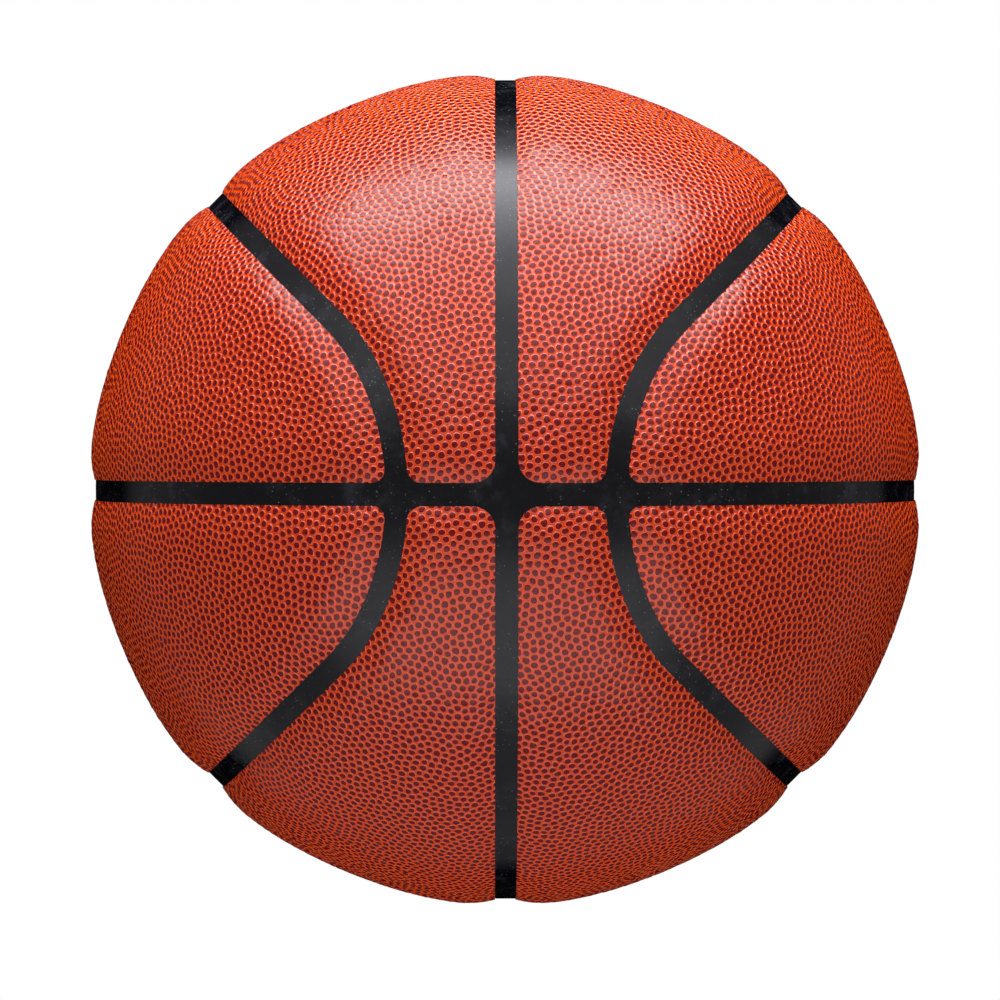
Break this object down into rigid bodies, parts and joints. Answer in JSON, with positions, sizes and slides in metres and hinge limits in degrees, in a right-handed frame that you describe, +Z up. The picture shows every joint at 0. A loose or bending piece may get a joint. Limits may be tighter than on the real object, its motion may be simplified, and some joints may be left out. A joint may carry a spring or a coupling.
{
  "type": "basketball",
  "caption": "Inflatable basketball with crowned, pebbled cover panels laid between the raised black ribs of a rubber carcass, over a wound bladder with a self-sealing needle valve",
  "frame": {"origin": "centre of the ball", "axes": "+Z up as pictured; the Y axis runs through the two crossings of the straight channels, the pictured one on -Y; +X to the right in the picture"},
  "size_m": [0.2374, 0.2368, 0.2374],
  "materials": {
    "cover": "pebbled composite leather, dark raised pebbles over orange valleys",
    "carcass_rubber": "smooth black satin rubber",
    "winding_thread": "nylon thread wound in many directions and dipped in latex",
    "bladder_rubber": "dull black butyl",
    "valve_rubber": "moulded dark rubber",
    "core_rubber": "soft brown gum rubber"
  },
  "bodies": {
    "root": {"waist_panel_upper_left": "cover", "waist_panel_upper_right": "cover", "waist_panel_lower_left": "cover", "waist_panel_lower_right": "cover", "end_panel_upper_left": "cover", "end_panel_upper_right": "cover", "end_panel_lower_left": "cover", "end_panel_lower_right": "cover", "carcass": "carcass_rubber", "thread_winding": "winding_thread", "bladder": "bladder_rubber", "valve_housing": "valve_rubber", "valve_core": "core_rubber"}
  },
  "joints": []
}
